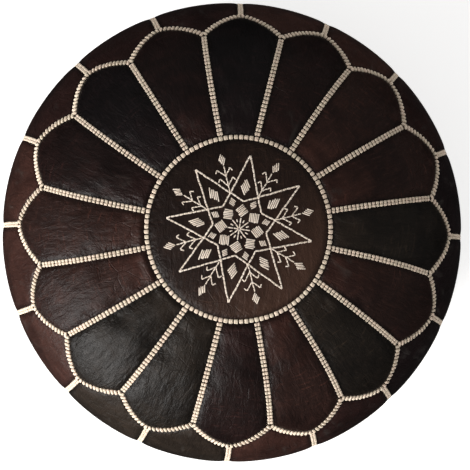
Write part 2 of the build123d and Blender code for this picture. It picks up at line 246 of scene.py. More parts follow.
def grid_panel(place, columns, rows, hide_shift, far_sink=1.0):
    """A panel as a grid: place(across, along) gives (length, angle). Each point keeps where it lies on the
    hide, for the leather's pattern, and how far it is from the nearest seam. far_sink is the share of the
    seams' depth that is left at the panel's far end."""
    bm = bmesh.new()
    hide, seam, tone = hide_layers(bm)
    bmesh.ops.create_grid(bm, x_segments=columns, y_segments=rows, size=1)
    left = place(0.5, 0)[1]
    for vert in bm.verts:
        across, along = crowd((vert.co.x + 1) / 2), crowd((vert.co.y + 1) / 2)
        length, angle = place(across, along)
        radius = outline.at(length)[0]
        edges = [place(0, along), place(1, along), place(across, 0), place(across, 1)]
        gap = min(
            abs(angle - edges[0][1]) * radius,
            abs(angle - edges[1][1]) * radius,
            abs(length - edges[2][0]),
            abs(length - edges[3][0]),
        )
        sink = lerp(1, far_sink, smooth(0, 0.25, along))
        vert.co = skin(length, angle, seam_drop(gap, sink) + gather(length, angle))
        vert[hide] = Vector(((angle - left) * radius, length, hide_shift))
        vert[seam] = gap
        # Painted light and shade: paler at the panel's inner or upper end and darker at its far end, as the
        # light falls off
        vert[tone] = 0.5 + 0.2 * (smooth(0.5, 0, along) - smooth(0.5, 1, along))
    return face_out(bm)


def round_panel(rings, steps):
    """The medallion: a grid wrapped round its middle. A spin would number its edges differently each time,
    and the cloth settles by their order."""
    bm = bmesh.new()
    hide, seam, tone = hide_layers(bm)
    bmesh.ops.create_grid(bm, x_segments=steps, y_segments=rings, size=1)
    for vert in bm.verts:
        angle, inner = (vert.co.x + 1) * math.pi, (1 - vert.co.y) / 2
        radius = RING * (1 - inner**1.3)
        gap = RING - radius
        vert[hide] = Vector((radius * math.cos(angle), radius * math.sin(angle), 40))
        vert[seam] = gap
        # Painted light and shade: paler towards the lower right, where the light falls on it
        vert[tone] = 0.5 + 0.5 * (0.75 * vert[hide].x - 0.65 * vert[hide].y) / RING
        vert.co = skin(outline.to(radius), angle, seam_drop(gap))
    bmesh.ops.remove_doubles(bm, verts=bm.verts, dist=0.01 * MM)
    return face_out(bm)


def face_out(bm):
    """Turns the panel's faces outwards, away from the middle of the pouf."""
    bm.normal_update()
    middle = Vector((0, 0, HEIGHT / 2))
    outward = sum((face.calc_center_median() - middle).dot(face.normal) for face in bm.faces)
    if outward < 0:
        bmesh.ops.reverse_faces(bm, faces=bm.faces)
    return bm


def base_place(side, turn, inward):
    """A point of a base half: turn goes round the half from 0 to 1, and inward from the seam at 0 over
    the flat to the furrow's lip at 1, and then up the furrow's wall to the tape at 2."""
    lip = FURROW_HALF + FURROW_TURN
    corner = math.asin(lip / BASE)
    angle = lerp(corner, math.pi - corner, turn)
    rim = Vector((BASE * math.cos(angle), BASE * math.sin(angle)))
    reach = math.sqrt(BASE**2 - lip**2)
    flat = rim.lerp(Vector((lerp(reach, -reach, turn), lip)), min(inward, 1))
    lift = 0.0
    if inward > 1:
        climb = min((inward - 1) / 0.85, 1) * math.pi / 2
        flat.y = lip - FURROW_TURN * math.sin(climb)
        lift = FURROW_TURN * (1 - math.cos(climb)) + (TAPE_BOTTOM - FURROW_TURN) * smooth(0.85, 1, inward - 1)
    radius = min(flat.length, BASE)
    rise = 0.0
    if radius > outline.flat_radius:
        rise = CORNER_ARC - math.sqrt(CORNER_ARC**2 - (radius - outline.flat_radius) ** 2)
    crease = 0.35 * MM * (1 + wander(9, flat.x * 30 + side * 5, 1.0) * wander(8, flat.y * 40, 1.0))
    return Vector((flat.x, side * flat.y, max(rise, lift) + (crease if inward <= 1 else 0)))


def base_panel(side):
    """Half of the base, with its edge turned up into the furrow."""
    bm = bmesh.new()
    hide, seam, tone = hide_layers(bm)
    bmesh.ops.create_grid(bm, x_segments=72, y_segments=30, size=1)
    for vert in bm.verts:
        turn, inward = (vert.co.x + 1) / 2, vert.co.y + 1
        inward = inward * 0.8 if inward < 1.25 else 1 + (inward - 1.25) / 0.75
        vert.co = base_place(side, turn, inward)
        vert[hide] = Vector((vert.co.x, vert.co.y, 50 + side))
        vert[seam] = max(BASE - math.hypot(vert.co.x, vert.co.y), 0)
        vert[tone] = 0.5
    return face_out(bm)


PETAL_GRID = (16, 26)
SIDE_GRID = (16, 50)
cover = {"medallion": round_panel(16, 96)}
for number in range(PANELS):
    cover[f"petal_{number + 1:02d}"] = grid_panel(
        lambda a, b, n=number: petal_place(n, a, b), *PETAL_GRID, hide_shift=number
    )
    cover[f"side_panel_{number + 1:02d}"] = grid_panel(
        lambda a, b, n=number: side_place(n, a, b), *SIDE_GRID, hide_shift=20 + number, far_sink=0.4
    )


# Filling the cover -----------------------------------------------------------------------------------
EXCESS = 0.012  # how much larger the leather is cut than the span between its seams
PRESSURE = 6.0
STEPS = 24
MOST_SWELL = 5.5 * MM
SIDE_SHARE = 0.3  # the sides are pulled straighter than the top


def fill_with_cloth(panels):
    """Blows the panels up between their pinned seams by cloth simulation, and returns how far each point
    moved."""
    joined = bmesh.new()
    rims = []
    for panel in panels.values():
        mesh = bpy.data.meshes.new("panel")
        before = len(joined.verts)
        panel.verts.index_update()
        rims += [before + vert.index for vert in panel.verts if vert.is_boundary]
        panel.to_mesh(mesh)
        joined.from_mesh(mesh)
        bpy.data.meshes.remove(mesh)
    mesh = bpy.data.meshes.new("filled_cover")
    joined.to_mesh(mesh)
    joined.free()
    cloth_object = bpy.data.objects.new("filled_cover", mesh)
    bpy.context.scene.collection.objects.link(cloth_object)
    pins = cloth_object.vertex_groups.new(name="seams")
    pins.add(rims, 1.0, "REPLACE")
    cloth = cloth_object.modifiers.new("filling", "CLOTH")
    cloth.settings.quality = 6
    cloth.settings.mass = 0.4
    cloth.settings.tension_stiffness = 40
    cloth.settings.compression_stiffness = 40
    cloth.settings.shear_stiffness = 12
    cloth.settings.bending_stiffness = 4
    cloth.settings.shrink_min = -EXCESS
    cloth.settings.vertex_group_mass = "seams"
    cloth.settings.use_pressure = True
    cloth.settings.uniform_pressure_force = PRESSURE
    cloth.settings.effector_weights.gravity = 0
    cloth.collision_settings.use_self_collision = False
    cloth.point_cache.frame_start = 1
    cloth.point_cache.frame_end = STEPS
    for step in range(1, STEPS + 1):
        bpy.context.scene.frame_set(step)
    depsgraph = bpy.context.evaluated_depsgraph_get()
    filled = cloth_object.evaluated_get(depsgraph).to_mesh()
    moves = [after.co - before.co for after, before in zip(filled.vertices, mesh.vertices)]
    bpy.context.scene.frame_set(1)
    bpy.data.objects.remove(cloth_object)
    return moves


def fill(panels):
    """Swells the panels, by no more than MOST_SWELL anywhere."""
    moves = iter(fill_with_cloth(panels))
    for name, panel in panels.items():
        share = SIDE_SHARE if name.startswith("side") else 1.0
        for vert in panel.verts:
            move = next(moves) * share
            if move.length > MOST_SWELL:
                move *= MOST_SWELL / move.length
            vert.co += move


fill(cover)


def new_piece(name, bm, slot, material):
    """The finished bmesh as a piece that rides on the pouf."""
    mesh = bpy.data.meshes.new(name)
    bm.to_mesh(mesh)
    bm.free()
    mesh.shade_smooth()
    piece = bpy.data.objects.new(name, mesh)
    bpy.context.scene.collection.objects.link(piece)
    mesh.materials.append(material)
    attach(piece, "pouf")
    return piece


def leather_piece(name, bm, node, slot):
    """A panel of leather, with its thickness and a finer, rounder mesh."""
    piece = new_piece(name, bm, slot, leathers[slot])
    thickness = piece.modifiers.new("leather", "SOLIDIFY")
    thickness.thickness = LEATHER
    thickness.offset = -1
    rounding = piece.modifiers.new("rounding", "SUBSURF")
    rounding.levels = rounding.render_levels = 1
    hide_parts(node)
    return piece


# Finishes --------------------------------------------------------------------------------------------
class Value:
    """A shader socket whose arithmetic adds Math nodes."""

    def __init__(self, socket):
        self.socket = socket

    def math(self, operation, *inputs, clamp=False):
        return add_node(
            self.socket.id_data, "Math", dict(enumerate(inputs)), operation=operation, use_clamp=clamp
        )

    def __add__(self, other):
        return self.math("ADD", self, other)

    __radd__ = __add__

    def __sub__(self, other):
        return self.math("SUBTRACT", self, other)

    def __rsub__(self, other):
        return self.math("SUBTRACT", other, self)

    def __mul__(self, other):
        return self.math("MULTIPLY", self, other)

    __rmul__ = __mul__

    def sine(self):
        return self.math("SINE", self)

    def clamped(self):
        return self.math("ADD", self, 0.0, clamp=True)


def plug(socket, value):
    """Links a Value to a socket, or sets it."""
    if isinstance(value, Value):
        socket.id_data.links.new(value.socket, socket)
    elif isinstance(value, (tuple, list)) and len(value) == 3 and len(socket.default_value) == 4:
        socket.default_value = (*value, 1.0)
    else:
        socket.default_value = value


def add_node(tree, kind, inputs=None, output=0, **settings):
    """A node of that kind: its settings, then its sockets' values or links. Returns the output named, or a
    tuple of them all for None."""
    node = tree.nodes.new("ShaderNode" + kind)
    for key, value in settings.items():
        setattr(node, key, value)
    for key, value in (inputs or {}).items():
        plug(node.inputs[key], value)
    if output is None:
        return tuple(Value(socket) for socket in node.outputs)
    return Value(node.outputs[output])


class Finish:
    """A material being made: add() makes a node in it, and set() fills the shader's sockets."""

    def __init__(self, name, **constants):
        self.material = bpy.data.materials.new(name)
        self.material.use_nodes = True
        self.tree = self.material.node_tree
        self.shader = self.tree.nodes["Principled BSDF"]
        self.set(**constants)

    def set(self, **values):
        for key, value in values.items():
            plug(self.shader.inputs[key.replace("_", " ")], value)

    def add(self, kind, inputs=None, output=0, **settings):
        return add_node(self.tree, kind, inputs, output, **settings)

    def place(self):
        return self.add("TexCoord", output="Object")

    def attribute(self, name, output="Vector"):
        return self.add("Attribute", attribute_name=name, output=output)

    def scaled(self, vector, scale):
        return self.add("Mapping", {"Vector": vector, "Scale": scale})

    def split(self, vector):
        return self.add("SeparateXYZ", {0: vector}, output=None)

    def noise(self, vector, scale, detail=3.0, roughness=0.5, distortion=0.0):
        sockets = {"Scale": scale, "Detail": detail, "Roughness": roughness, "Distortion": distortion}
        return self.add("TexNoise", {"Vector": vector, **sockets})

    def warped(self, vector, scale=24.0, amount=0.012):
        """The vector, stirred by noise so that nothing in it stays straight."""
        swirl = self.add("TexNoise", {"Vector": vector, "Scale": scale, "Detail": 2.0}, output=1)
        sockets = {0: swirl, 1: (amount, amount, amount), 2: vector}
        return self.add("VectorMath", sockets, operation="MULTIPLY_ADD")

    def cells(self, vector, scale, feature="F1"):
        return self.add("TexVoronoi", {"Vector": vector, "Scale": scale}, feature=feature)

    def rise(self, value, low, high, bottom=0.0, top=1.0):
        """bottom while value is under low, top when it is over high, and a smooth rise between."""
        sockets = {"Value": value, "From Min": low, "From Max": high, "To Min": bottom, "To Max": top}
        return self.add("MapRange", sockets, interpolation_type="SMOOTHSTEP")

    def mix(self, share, first, second):
        """Mixes two colours."""
        return self.add("Mix", {0: share, 6: first, 7: second}, output=2, data_type="RGBA")

    def bump(self, height, distance, strength=1.0, over=None):
        sockets = {"Height": height, "Distance": distance, "Strength": strength}
        if over:
            sockets["Normal"] = over
        return self.add("Bump", sockets)


def shade(colour, factor):
    return tuple(channel * factor for channel in colour)


def leather(name, dark, light, warm):
    """Waxed goatskin: cloudy dye, brushed streaks, scrapes, fine grain and a few creases, painted light and
    shade over each panel, pale streaks painted as crease highlights, and burnish with painted shade near its
    seams."""
    finish = Finish(name, Specular_IOR_Level=0.11)
    hide = finish.attribute("hide")
    seam = finish.attribute("seam", "Fac")
    tone = finish.attribute("tone", "Fac")
    clouds = finish.noise(hide, 12, 4, 0.6, 0.8)
    patches = finish.noise(hide, 38, 5, 0.6, 0.5)
    streaks = finish.noise(finish.scaled(hide, (1.0, 0.22, 1.0)), 330, 4, 0.7, 0.9)
    scrapes = finish.noise(finish.scaled(finish.warped(hide), (0.12, 1.0, 1.0)), 420, 3, 0.6, 0.3)
    fleck = finish.noise(hide, 700, 3, 0.65)
    colour = finish.mix(finish.rise(clouds, 0.36, 0.66), dark, light)
    colour = finish.mix(finish.rise(patches, 0.48, 0.72, 0.0, 0.6), colour, warm)
    worn = finish.rise(streaks, 0.5, 0.76, 0.0, 0.55)
    colour = finish.mix(worn, colour, shade(light, 2.6))
    scraped = finish.rise(scrapes, 0.56, 0.72, 0.0, 0.6) * finish.rise(clouds, 0.4, 0.62)
    colour = finish.mix(scraped, colour, shade(warm, 3.0))
    colour = finish.mix(finish.rise(fleck, 0.42, 0.66, 0.0, 0.45), colour, shade(dark, 0.4))
    # Painted light and shade: paler where the panel catches the light and darker where the light falls off,
    # mottled by the patches
    painted_light_and_mottle = tone + 0.25 * (patches - 0.5)
    colour = finish.mix(finish.rise(painted_light_and_mottle, 0.5, 1.0, 0.0, 0.9), colour, shade(warm, 2.1))
    colour = finish.mix(finish.rise(painted_light_and_mottle, 0.5, 0.0, 0.0, 0.7), colour, shade(dark, 0.6))
    # Painted highlights: pale grey streaks on the lit parts by the ring, standing in for light caught on
    # creases
    crease_highlight_streaks = finish.noise(finish.scaled(finish.warped(hide), (1.0, 0.35, 1.0)), 75, 5, 0.6, 0.6)
    painted_crease_highlights = finish.rise(crease_highlight_streaks, 0.56, 0.72, 0.0, 0.3) * finish.rise(tone, 0.55, 0.68)
    colour = finish.mix(painted_crease_highlights, colour, (0.052, 0.047, 0.042))
    # Darker near the seams: burnished leather, and painted shade where the leather sinks into its seams
    burnish_and_seam_shade = finish.rise(seam, 1.5 * MM, 10 * MM, 1.0, 0.0)
    colour = finish.mix(burnish_and_seam_shade * 0.75, colour, shade(dark, 0.3))
    roughness = 0.44 + 0.3 * (patches - 0.5) + 0.25 * (fleck - 0.5) - 0.12 * worn - 0.06 * burnish_and_seam_shade
    grain = finish.cells(hide, 820)
    pores = finish.noise(hide, 1500, 2, 0.5)
    pebbles = finish.cells(hide, 230, "SMOOTH_F1")
    creases = finish.cells(finish.warped(hide), 70.0, "DISTANCE_TO_EDGE")
    cracks = finish.rise(creases, 0.0, 0.05, -1.0, 0.0) * finish.rise(clouds, 0.5, 0.7)
    wrinkles = finish.noise(finish.scaled(finish.warped(hide), (1.0, 0.3, 1.0)), 150, 4, 0.6, 0.8)
    puckers = (finish.noise(hide, 120, 2, 0.5, 1.2) - 0.5) * finish.rise(seam, 2 * MM, 18 * MM, 1.0, 0.15)
    waves = finish.noise(finish.scaled(hide, (1.0, 0.45, 1.0)), 42, 3, 0.55, 0.9)
    normal = finish.bump(waves, 1.8 * MM, 0.7)
    normal = finish.bump(puckers, 2.2 * MM, 0.7, normal)
    normal = finish.bump(wrinkles, 1.5 * MM, 0.8, normal)
    normal = finish.bump(cracks, 0.45 * MM, 0.8, normal)
    normal = finish.bump(0.7 * grain + 0.4 * pores + 0.6 * pebbles + 0.5 * streaks, 0.3 * MM, 0.7, normal)
    finish.set(Base_Color=colour, Roughness=roughness.clamped(), Normal=normal)
    return finish.material


def thread(name, light, warm, dark, ply=0.62 * MM, gloss=0.0):
    """Twisted thread: strands run the length of each stitch, with painted shade in the grooves between them,
    and every stitch has its own tint.
    """
    finish = Finish(name, Specular_IOR_Level=0.25)
    run, side, _ = finish.split(finish.add("UVMap", uv_map="stitch"))
    tint = finish.attribute("tint", "Fac")
    place = finish.place()
    strands = ((side + 0.18 * run) * (math.tau / ply)).sine() * 0.5 + 0.5
    fuzz = finish.noise(place, 2600, 3, 0.7)
    soil = finish.noise(place, 70, 3, 0.6)
    colour = finish.mix(tint, light, warm)
    # Painted shade: darker in the grooves between the strands
    colour = finish.mix(finish.rise(strands, 0.0, 0.55, 0.42, 0.0), colour, dark)
    colour = finish.mix(finish.rise(soil, 0.5, 0.75, 0.0, 0.3), colour, dark)
    colour = finish.mix(finish.rise(fuzz, 0.4, 0.8, 0.0, 0.2), colour, shade(light, 1.1))
    normal = finish.bump(strands, 0.16 * MM, 0.9)
    normal = finish.bump(fuzz, 0.06 * MM, 0.6, normal)
    finish.set(Base_Color=colour, Roughness=(0.78 - gloss + 0.12 * (fuzz - 0.5)).clamped(), Normal=normal)
    return finish.material


def cloth(name, colour, warp=1.1 * MM, depth=0.12 * MM):
    """Plain weave on Object coordinates, with painted shade in the hollows of the weave."""
    finish = Finish(name, Specular_IOR_Level=0.2)
    place = finish.place()
    x, y, z = finish.split(place)
    weave = (x * (math.tau / warp)).sine() * ((y + z) * (math.tau / warp)).sine() * 0.5 + 0.5
    slub = finish.noise(finish.scaled(place, (1.0, 6.0, 1.0)), 160, 4, 0.6)
    clouds = finish.noise(place, 18, 3, 0.5)
    base = finish.mix(finish.rise(slub, 0.35, 0.75, 0.0, 0.5), colour, shade(colour, 0.72))
    base = finish.mix(finish.rise(clouds, 0.45, 0.7, 0.0, 0.3), base, shade(colour, 0.6))
    # Painted shade: darker in the hollows of the weave
    base = finish.mix(finish.rise(weave, 0.0, 0.5, 0.35, 0.0), base, shade(colour, 0.45))
    normal = finish.bump(weave, depth, 0.8)
    normal = finish.bump(slub, depth, 0.5, normal)
    finish.set(Base_Color=base, Roughness=(0.82 + 0.15 * (slub - 0.5)).clamped(), Normal=normal)
    return finish.material


def filling(name, colour):
    """Tufts of loose fibre, with painted shade in the hollows between them."""
    finish = Finish(name, Specular_IOR_Level=0.15)
    place = finish.place()
    tufts = finish.noise(place, 45, 6, 0.7, 1.4)
    fibres = finish.noise(finish.scaled(place, (1.0, 1.0, 5.0)), 420, 4, 0.7, 2.0)
    # Painted shade: darker where the tufts sink
    base = finish.mix(finish.rise(tufts, 0.35, 0.7), shade(colour, 0.68), colour)
    base = finish.mix(finish.rise(fibres, 0.5, 0.8, 0.0, 0.4), base, shade(colour, 1.15))
    normal = finish.bump(0.8 * tufts + 0.2 * fibres, 6 * MM, 0.8)
    finish.set(Base_Color=base, Roughness=(0.9 + 0.08 * (fibres - 0.5)).clamped(), Normal=normal)
    return finish.material


def aged_metal(name, colour, tarnish):
    """Rubbed brass, tarnished in its hollows and finely scratched."""
    finish = Finish(name, Metallic=1.0)
    place = finish.place()
    stain = finish.noise(place, 900, 5, 0.65, 0.8)
    rub = finish.noise(finish.scaled(place, (1.0, 14.0, 14.0)), 500, 4, 0.6)
    base = finish.mix(finish.rise(stain, 0.4, 0.68), colour, tarnish)
    base = finish.mix(finish.rise(rub, 0.55, 0.75, 0.0, 0.4), base, shade(colour, 1.25))
    normal = finish.bump(rub, 0.02 * MM, 0.6)
    normal = finish.bump(stain, 0.04 * MM, 0.5, normal)
    finish.set(Base_Color=base, Roughness=(0.34 + 0.3 * (stain - 0.4)).clamped(), Normal=normal)
    return finish.material


def nylon(name, colour):
    """Moulded nylon, faintly cloudy."""
    finish = Finish(name, Specular_IOR_Level=0.5)
    place = finish.place()
    cloud = finish.noise(place, 700, 4, 0.6)
    scuff = finish.noise(finish.scaled(place, (0.3, 1.0, 1.0)), 2600, 3, 0.6)
    base = finish.mix(finish.rise(cloud, 0.35, 0.7), colour, shade(colour, 1.8))
    normal = finish.bump(scuff, 0.02 * MM, 0.6)
    finish.set(Base_Color=base, Roughness=(0.42 + 0.3 * (cloud - 0.5)).clamped(), Normal=normal)
    return finish.material


# Each dye's deep, middle and warm shades
leathers = {
    slot: leather(f"{slot.split('_')[1]}_leather", *tones)
    for slot, tones in {
        "leather_medallion": ((0.0090, 0.0044, 0.0034), (0.0175, 0.0092, 0.0066), (0.025, 0.0125, 0.0084)),
        "leather_brown": ((0.0105, 0.0044, 0.0036), (0.0200, 0.0088, 0.0068), (0.029, 0.0108, 0.0078)),
        "leather_black": ((0.0026, 0.0016, 0.0018), (0.0052, 0.0034, 0.0038), (0.0085, 0.0042, 0.0044)),
        "leather_umber": ((0.0052, 0.0023, 0.0021), (0.0098, 0.0043, 0.0038), (0.0150, 0.0056, 0.0048)),
        "leather_slate": ((0.0052, 0.0038, 0.0030), (0.0105, 0.0078, 0.0058), (0.0145, 0.0096, 0.0066)),
        "leather_base": ((0.0130, 0.0075, 0.0055), (0.0240, 0.0140, 0.0105), (0.032, 0.0175, 0.0125)),
    }.items()
}
cream = thread("cream_thread", (0.80, 0.65, 0.53), (0.68, 0.60, 0.47), (0.36, 0.26, 0.19))
silk = thread(
    "embroidery_thread", (0.92, 0.82, 0.72), (0.82, 0.70, 0.58), (0.42, 0.32, 0.24), ply=0.5 * MM, gloss=0.15
)
dark_thread = thread(
    "dark_thread", (0.030, 0.020, 0.016), (0.040, 0.026, 0.020), (0.010, 0.007, 0.006), ply=0.4 * MM
)
cotton = cloth("lining_cotton", (0.58, 0.52, 0.43))
tape_cloth = cloth("zip_tape_cloth", (0.020, 0.015, 0.013), warp=0.7 * MM, depth=0.08 * MM)
fibre = filling("stuffing_fibre", (0.74, 0.71, 0.64))
brass = aged_metal("aged_brass", (0.46, 0.33, 0.16), (0.14, 0.095, 0.055))
coil_nylon = nylon("coil_nylon", (0.020, 0.015, 0.013))


# Leather pieces --------------------------------------------------------------------------------------
slots = {row["node"]: row["material_slot"] for row in frame["record"]["subparts"]}
medallion_top = BVHTree.FromBMesh(cover["medallion"])
for name, panel in cover.items():
    leather_piece(f"{name}_leather", panel, name, slots[name])
for name, side in {"base_half_back": 1, "base_half_front": -1}.items():
    leather_piece(f"{name}_leather", base_panel(side), name, slots[name])


# Stitches --------------------------------------------------------------------------------------------
def upright(centre, along, normal):
    """A matrix whose Y runs along a stitch and whose Z stands out of the leather."""
    along = along.normalized()
    across = along.cross(normal).normalized()
    up = across.cross(along)
    matrix = Matrix((across, along, up)).transposed().to_4x4()
    matrix.translation = centre
    return matrix


def along_seam(curve, pitch, lift):
    """Matrices at an even pitch along a seam, and the pitch: curve(share) gives (length, angle)."""
    samples = 240
    points = [skin(*curve(i / samples), lift) for i in range(samples + 1)]
    marks = [0.0]
    for first, second in zip(points, points[1:]):
        marks.append(marks[-1] + (second - first).length)
    count = max(round(marks[-1] / pitch), 1)
    places = []
    index = 0
    for stitch in range(count):
        goal = (stitch + 0.5) * marks[-1] / count
        while marks[index + 1] < goal:
            index += 1
        share = (index + (goal - marks[index]) / (marks[index + 1] - marks[index])) / samples
        centre = points[index].lerp(points[index + 1], share * samples - index)
        places.append(upright(centre, points[index + 1] - points[index], skin_normal(*curve(share))))
    return places, marks[-1] / count


def sew(name, stitches, material, slot, *nodes, seed=0, rounding=0.32):
    """One piece of many stitches: each is (matrix, width, length, height), a block with round edges."""
    dice = random.Random(seed)
    bm = bmesh.new()
    tree = kdtree.KDTree(len(stitches))
    frames = []
    for index, (matrix, width, length, height) in enumerate(stitches):
        matrix = matrix @ Matrix.Rotation(dice.gauss(0, 0.05), 4, "Z")
        size = [
            width * dice.uniform(0.93, 1.05),
            length * dice.uniform(0.93, 1.04),
            height * dice.uniform(0.9, 1.08),
        ]
        matrix = matrix @ Matrix.Translation((0, 0, size[2] * 0.5))
        bmesh.ops.create_cube(bm, size=1, matrix=matrix @ Matrix.Diagonal((*size, 1)))
        tree.insert(matrix.translation, index)
        frames.append((matrix.inverted(), dice.random()))
    tree.balance()
    thinnest = min(min(width, length, height) for _, width, length, height in stitches)
    bmesh.ops.bevel(
        bm, geom=bm.edges[:], offset=rounding * thinnest, segments=2, profile=0.5, affect="EDGES", material=-1
    )
    stitch_map = bm.loops.layers.uv.new("stitch")
    tint = bm.verts.layers.float.new("tint")
    bm.verts.index_update()
    own_places = []
    for vert in bm.verts:
        index = tree.find(vert.co)[1]
        inverse, vert[tint] = frames[index]
        own_places.append(inverse @ vert.co)
    for face in bm.faces:
        for loop in face.loops:
            loop[stitch_map].uv = own_places[loop.vert.index].xy
    bmesh.ops.recalc_face_normals(bm, faces=bm.faces)
    piece = new_piece(name, bm, slot, material)
    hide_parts(*nodes)


def block_rows(curve, pitch, offsets, width, height, fill=0.78, lift=-2.2 * MM):
    """Rows of stitches along a seam, one row at each sideways offset. fill is a stitch's share of the
    pitch."""
    places, step = along_seam(curve, pitch, lift)
    blocks = []
    for place in places:
        for offset in offsets:
            blocks.append((place @ Matrix.Translation((offset, 0, 0)), width, step * fill, height))
    return blocks


def ring_curve(share):
    return RING_AT + 0.35 * MM * wander(7, math.cos(share * math.tau), 2.0), share * math.tau


def petal_seam_curve(seam):
    start = RING_AT + 3.0 * MM
    end = outline.to(VALLEY) - 2.6 * MM
    whole = outline.to(VALLEY) - RING_AT

    def curve(share):
        length = lerp(start, end, share)
        return length, petal_seam_angle(seam, (length - RING_AT) / whole)

    return curve


def half_end_curve(petal, start):
    """Half of a petal's end: up to its tip where start is -1, and from its tip where it is 0."""
    return lambda share: scallop(petal, start + share)


def side_seam_curve(seam):
    top = scallop(seam, 0)[0]

    def curve(share):
        length = lerp(top + 3.2 * MM, BASE_AT - 2.0 * MM, share)
        return length, side_seam_angle(seam, (length - top) / (BASE_AT - top))

    return curve


SINGLE = (0,)
DOUBLE = (-1.42 * MM, 1.42 * MM)
sew(
    "ring_stitches",
    block_rows(ring_curve, outline.at(RING_AT)[0] * math.tau / RING_BEADS, SINGLE, 4.7 * MM, 2.8 * MM, 0.82),
    cream,
    "thread_cream",
    "ring_seam_thread",
    seed=1,
)
for seam in range(PANELS):
    sew(
        f"petal_stitches_{seam + 1:02d}",
        block_rows(petal_seam_curve(seam), PETAL_PITCH, DOUBLE, 2.9 * MM, 2.3 * MM),
        cream,
        "thread_cream",
        "petal_seam_threads",
        seed=10 + seam,
    )
    sew(
        f"side_stitches_{seam + 1:02d}",
        block_rows(side_seam_curve(seam), PETAL_PITCH, DOUBLE, 2.9 * MM, 2.2 * MM, lift=-2.5 * MM),
        cream,
        "thread_cream",
        "side_seam_threads",
        seed=30 + seam,
    )
scallop_blocks = []
for petal in range(PANELS):
    for start in (-1, 0):
        scallop_blocks += block_rows(
            half_end_curve(petal, start), SCALLOP_PITCH, SINGLE, 6.2 * MM, 2.9 * MM, 0.72
        )
sew("scallop_stitches", scallop_blocks, cream, "thread_cream", "scallop_seam_thread", seed=2, rounding=0.44)

base_places, _ = along_seam(lambda share: (BASE_AT, share * math.tau), BASE_PITCH, -1.0 * MM)
base_stitches = [(place, 1.5 * MM, 4.4 * MM, 1.2 * MM) for place in base_places]
sew("base_stitches", base_stitches, dark_thread, "thread_dark", "base_seam_thread", seed=3)


# Embroidery ------------------------------------------------------------------------------------------
POINTS = 8
STAR = math.tau / POINTS
STAR_TURN = math.radians(-8.7)
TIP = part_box("star_outline")[1].x / math.cos(STAR_TURN) - 1.0 * MM
BEND = 27.8 * MM  # where the star's outline turns between two tips
STEM = (39.2 * MM, 66.2 * MM)
BRANCH_FEET = (45.5 * MM, 55.7 * MM)
BRANCH = 10.5 * MM
BRANCH_TURN = 40  # degrees from the stem
HOOK = 4.2 * MM
HOOK_TURN = math.radians(150)
hand = random.Random(7)


def on_medallion(point, lift=0.0):
    """The point of the medallion over a place in plan, and its normal."""
    hit, normal = medallion_top.ray_cast(Vector((point.x, point.y, 1)), Vector((0, 0, -1)))[:2]
    return hit + normal * lift, normal


def stitch_between(start, end, width, height):
    """A stitch from one place in plan to another, lying on the medallion."""
    first, first_normal = on_medallion(start)
    second, second_normal = on_medallion(end)
    middle = (first + second) / 2 - 0.25 * height * first_normal
    matrix = upright(middle, second - first, (first_normal + second_normal).normalized())
    return matrix, width, (second - first).length * 0.94, height


def back_stitched(points, width=1.7 * MM, stitch=4.6 * MM, height=1.1 * MM, shake=0.34 * MM):
    """A line of stitches through places in plan, a little uneven as by hand."""
    row = []
    for start, end in zip(points, points[1:]):
        count = max(round((end - start).length / stitch), 1)
        across = Vector((start.y - end.y, end.x - start.x)).normalized()
        marks = [start.lerp(end, i / count) + across * hand.uniform(-shake, shake) for i in range(count + 1)]
        marks[0], marks[-1] = start, end
        row += [stitch_between(a, b, width, height) for a, b in zip(marks, marks[1:])]
    return row


def polar(radius, angle):
    return Vector((radius * math.cos(angle), radius * math.sin(angle)))


def along_ray(angle, points):
    """Places given along and across a ray from the middle, turned to its direction."""
    turn = Matrix.Rotation(angle, 2)
    return [turn @ Vector(point) for point in points]


def satin_lozenge(angle, radius, length, width, threads, lean):
    """A lozenge of parallel threads, each running between two opposite sides. lean picks the pair."""
    right, left = (length / 2, 0), (-length / 2, 0)
    top, bottom = (0, lean * width / 2), (0, -lean * width / 2)
    side = math.hypot(length, width) / 2
    spacing = length * width / 2 / side / threads
    row = []
    for thread in range(threads):
        share = (thread + 0.5) / threads
        start = Vector(left).lerp(Vector(bottom), share)
        end = Vector(top).lerp(Vector(right), share)
        stretch = (end - start) * hand.uniform(-0.05, 0.06)
        places = [start - stretch + Vector((radius, 0)), end + stretch + Vector((radius, 0))]
        row.append(stitch_between(*along_ray(angle, places), spacing * 0.72, 0.95 * MM))
    return row


